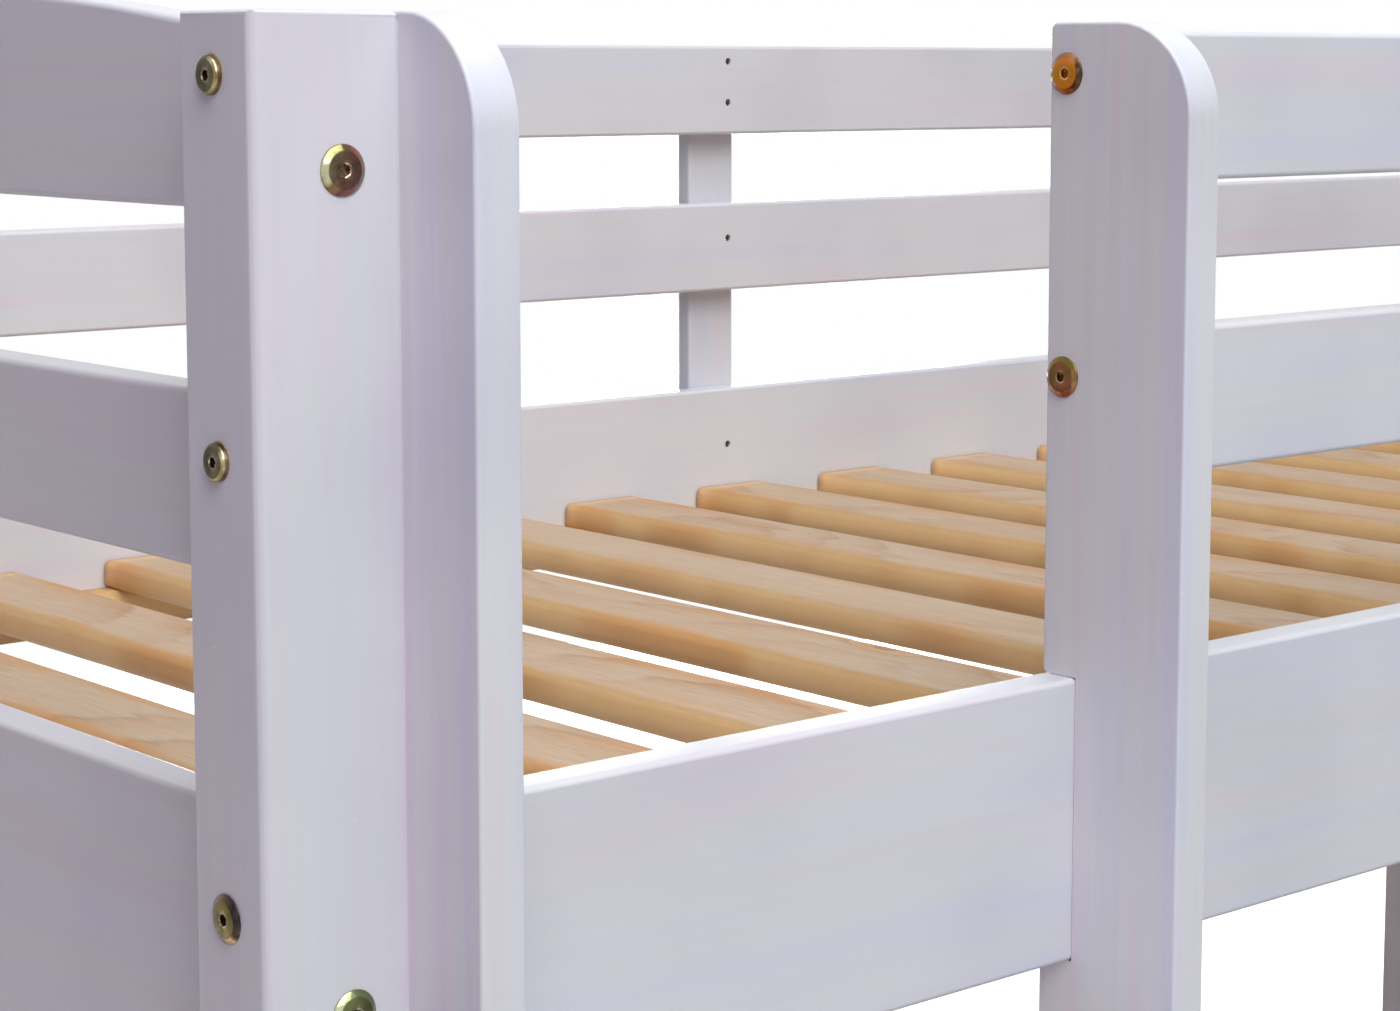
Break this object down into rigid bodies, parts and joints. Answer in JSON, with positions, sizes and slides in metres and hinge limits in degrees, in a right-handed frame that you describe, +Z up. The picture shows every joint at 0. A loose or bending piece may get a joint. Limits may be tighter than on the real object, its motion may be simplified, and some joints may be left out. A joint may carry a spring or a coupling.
{
  "type": "bunk bed with ladder",
  "caption": "Wooden bunk bed with bolted rails, slatted bases, guard boards round the upper bunk and a straight ladder at its front left corner.",
  "frame": {"origin": "floor centre of the whole bed's box, ladder included", "axes": "+X along the bed, away from the ladder end; +Y across it, away from the ladder; +Z up"},
  "size_m": [2.154, 1.033, 1.621],
  "materials": {
    "white_lacquer": "cool white satin lacquer on pine, soft rounded edges, fine grain showing faintly through",
    "natural_pine": "bare planed pine with warm orange-brown grain streaks and small knots",
    "yellow_zinc": "yellow passivated zinc on steel, iridescent gold, rose and green"
  },
  "bodies": {
    "root": {"post_front_left": "white_lacquer", "post_back_left": "white_lacquer", "post_front_right": "white_lacquer", "post_back_right": "white_lacquer", "upper_front_rail": "white_lacquer", "upper_back_rail": "white_lacquer", "lower_front_rail": "white_lacquer", "lower_back_rail": "white_lacquer", "left_arched_board": "white_lacquer", "right_arched_board": "white_lacquer", "upper_left_middle_board": "white_lacquer", "upper_right_middle_board": "white_lacquer", "lower_left_top_board": "white_lacquer", "lower_left_middle_board": "white_lacquer", "lower_right_top_board": "white_lacquer", "lower_right_middle_board": "white_lacquer", "upper_left_end_rail": "white_lacquer", "upper_right_end_rail": "white_lacquer", "lower_left_end_rail": "white_lacquer", "lower_right_end_rail": "white_lacquer", "front_guard_top_board": "white_lacquer", "front_guard_middle_board": "white_lacquer", "front_guard_batten": "white_lacquer", "back_guard_top_board": "white_lacquer", "back_guard_middle_board": "white_lacquer", "back_guard_batten": "white_lacquer", "ladder_stile_left": "white_lacquer", "ladder_stile_right": "white_lacquer", "ladder_tread_1": "white_lacquer", "ladder_tread_2": "white_lacquer", "ladder_tread_3": "white_lacquer", "ladder_tread_4": "white_lacquer", "upper_front_ledger": "natural_pine", "upper_back_ledger": "natural_pine", "lower_front_ledger": "natural_pine", "lower_back_ledger": "natural_pine", "upper_slat_01": "natural_pine", "upper_slat_02": "natural_pine", "upper_slat_03": "natural_pine", "upper_slat_04": "natural_pine", "upper_slat_05": "natural_pine", "upper_slat_06": "natural_pine", "upper_slat_07": "natural_pine", "upper_slat_08": "natural_pine", "upper_slat_09": "natural_pine", "upper_slat_10": "natural_pine", "upper_slat_11": "natural_pine", "upper_slat_12": "natural_pine", "upper_slat_13": "natural_pine", "upper_slat_14": "natural_pine", "upper_slat_15": "natural_pine", "lower_slat_panel": "natural_pine", "bolt_stile_top": "yellow_zinc", "bolt_stile_middle": "yellow_zinc", "bolt_front_rail_left": "yellow_zinc", "bolt_front_rail_right": "yellow_zinc", "bolt_arched_board": "yellow_zinc", "bolt_end_rail": "yellow_zinc", "bolt_guard_top": "yellow_zinc", "bolt_guard_middle": "yellow_zinc"}
  },
  "joints": []
}
